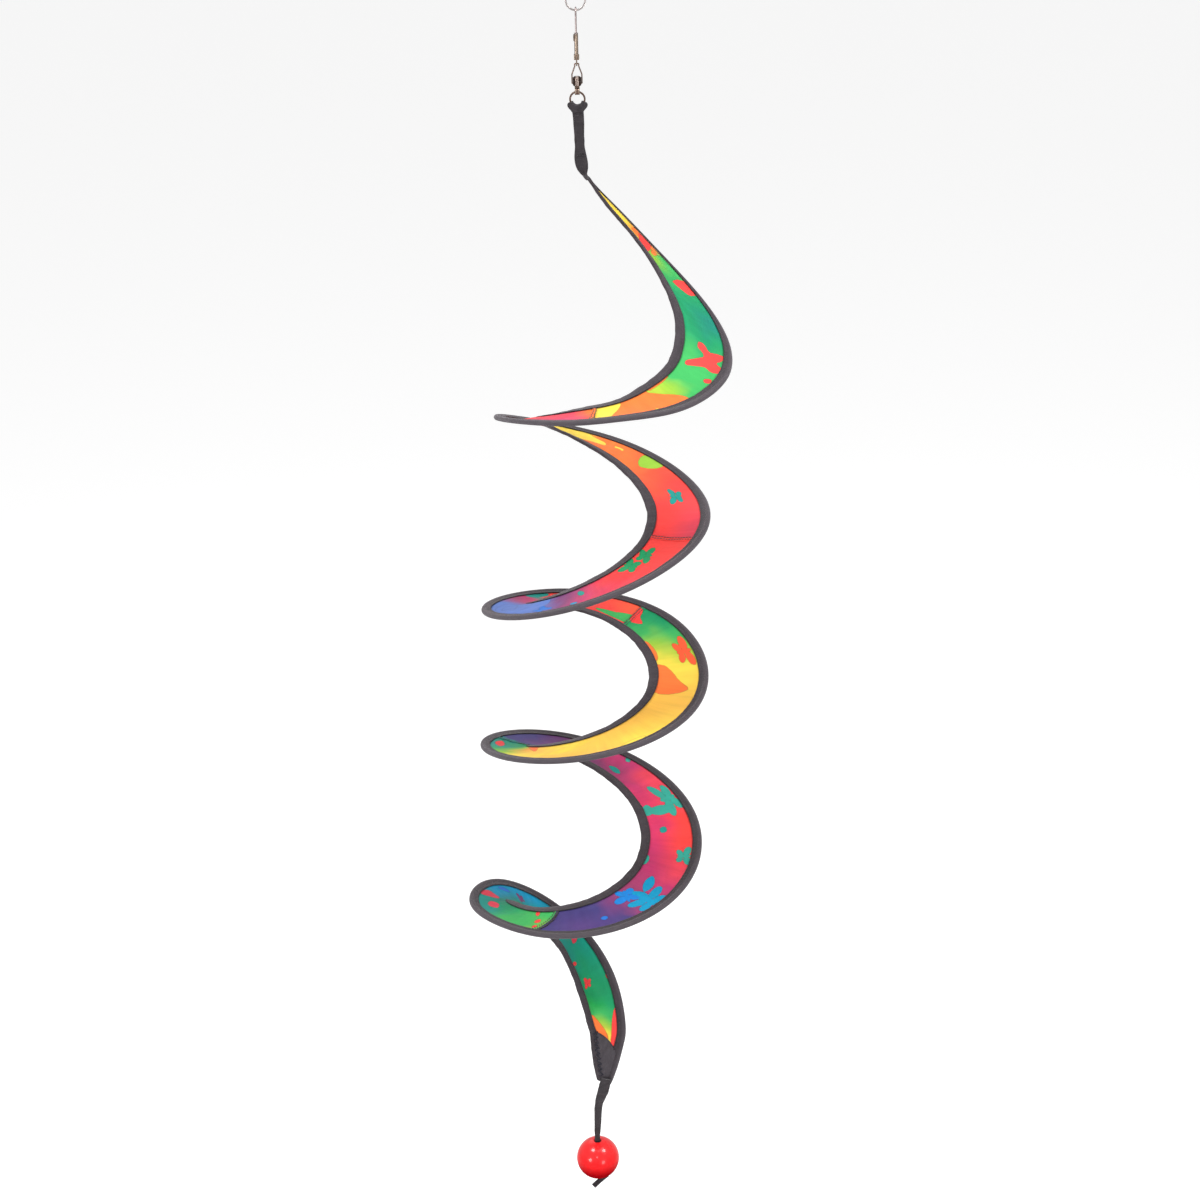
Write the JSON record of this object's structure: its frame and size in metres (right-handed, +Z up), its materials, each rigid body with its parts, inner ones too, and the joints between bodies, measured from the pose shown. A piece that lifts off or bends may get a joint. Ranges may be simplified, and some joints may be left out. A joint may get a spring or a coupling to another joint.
{
  "type": "wind spinner",
  "caption": "Hanging spiral wind spinner: printed cloth helix on a sprung rod with bound edges, ball-bearing swivel, safety snap and split rings above, corded bead below.",
  "frame": {"origin": "centre of the hanging split ring", "axes": "+Z up along the load line, +X to the right of the front view, +Y towards the back; both split rings lie in the XZ plane"},
  "size_m": [0.1766, 0.1536, 0.8484],
  "materials": {
    "ring_steel": "nickel-plated spring steel, slightly worn",
    "snap_wire": "nickel-plated spring wire",
    "snap_sheet": "folded nickel-plated sheet",
    "swivel_metal": "dark nickel",
    "bearing_steel": "polished bearing steel",
    "black_webbing": "woven black polyester tape",
    "edge_tape": "folded charcoal polyester edge tape",
    "cloth_green_orange": "printed ripstop polyester, emerald to orange to yellow",
    "cloth_red": "printed ripstop polyester, magenta to red to orange",
    "cloth_crimson_blue": "printed ripstop polyester, red to purple to blue",
    "cloth_yellow": "printed ripstop polyester, emerald to golden yellow",
    "cloth_magenta_indigo": "printed ripstop polyester, magenta to crimson to indigo",
    "cloth_teal_green": "printed ripstop polyester, teal to green to lime",
    "patch_cloth": "charcoal polyester patch",
    "rod_fibre": "pultruded glass-fibre rod",
    "bead_red": "glossy red lacquer"
  },
  "bodies": {
    "hang": {"hang_ring": "ring_steel"},
    "snap": {"snap_wire": "snap_wire", "snap_clasp": "snap_sheet"},
    "gate": {"snap_gate": "snap_wire"},
    "swivel_upper": {"swivel_bail": "swivel_metal", "swivel_barrel": "swivel_metal", "swivel_balls": "bearing_steel"},
    "swivel_lower": {"swivel_stem": "swivel_metal", "swivel_race": "bearing_steel"},
    "link": {"lower_ring": "ring_steel"},
    "spiral": {"hanger_tape": "black_webbing", "panel_1": "cloth_green_orange", "panel_2": "cloth_red", "panel_3": "cloth_crimson_blue", "panel_4": "cloth_yellow", "panel_5": "cloth_magenta_indigo", "panel_6": "cloth_teal_green", "end_patch": "patch_cloth", "outer_binding": "edge_tape", "inner_binding": "edge_tape", "spreader_rod": "rod_fibre"},
    "tail": {"tail_tape": "black_webbing", "tail_knot": "black_webbing"},
    "ball": {"bead": "bead_red"}
  },
  "joints": [
    {"name": "snap_swing", "type": "hinge", "parent": "hang", "child": "snap", "pos_m": [0, 0, -0.00575], "axis": [1, 0, 0], "range_deg": [-45, 45]},
    {"name": "snap_gate_squeeze", "type": "hinge", "parent": "snap", "child": "gate", "pos_m": [0, -0.003, -0.0088], "axis": [1, 0, 0], "range_deg": [0, 9]},
    {"name": "swivel_swing", "type": "hinge", "parent": "snap", "child": "swivel_upper", "pos_m": [0, 0, -0.03665], "axis": [1, 0, 0], "range_deg": [-25, 25]},
    {"name": "swivel_spin", "type": "hinge", "parent": "swivel_upper", "child": "swivel_lower", "pos_m": [0, 0, -0.0468], "axis": [0, 0, 1], "continuous": true},
    {"name": "ring_swing", "type": "hinge", "parent": "swivel_lower", "child": "link", "pos_m": [0, 0, -0.05315], "axis": [1, 0, 0], "range_deg": [-30, 30]},
    {"name": "tape_swing", "type": "hinge", "parent": "link", "child": "spiral", "pos_m": [0, 0, -0.0575], "axis": [0, 1, 0], "range_deg": [-25, 25]},
    {"name": "spiral_collapse", "type": "slide", "parent": "spiral", "child": "tail", "axis": [0, 0, 1], "range_m": [0, 0.5], "deforming": ["panel_1", "panel_2", "panel_3", "panel_4", "panel_5", "panel_6", "end_patch", "outer_binding", "inner_binding", "spreader_rod"]},
    {"name": "bead_slide", "type": "slide", "parent": "tail", "child": "ball", "axis": [0, 0, 1], "range_m": [0, 0.012]}
  ]
}
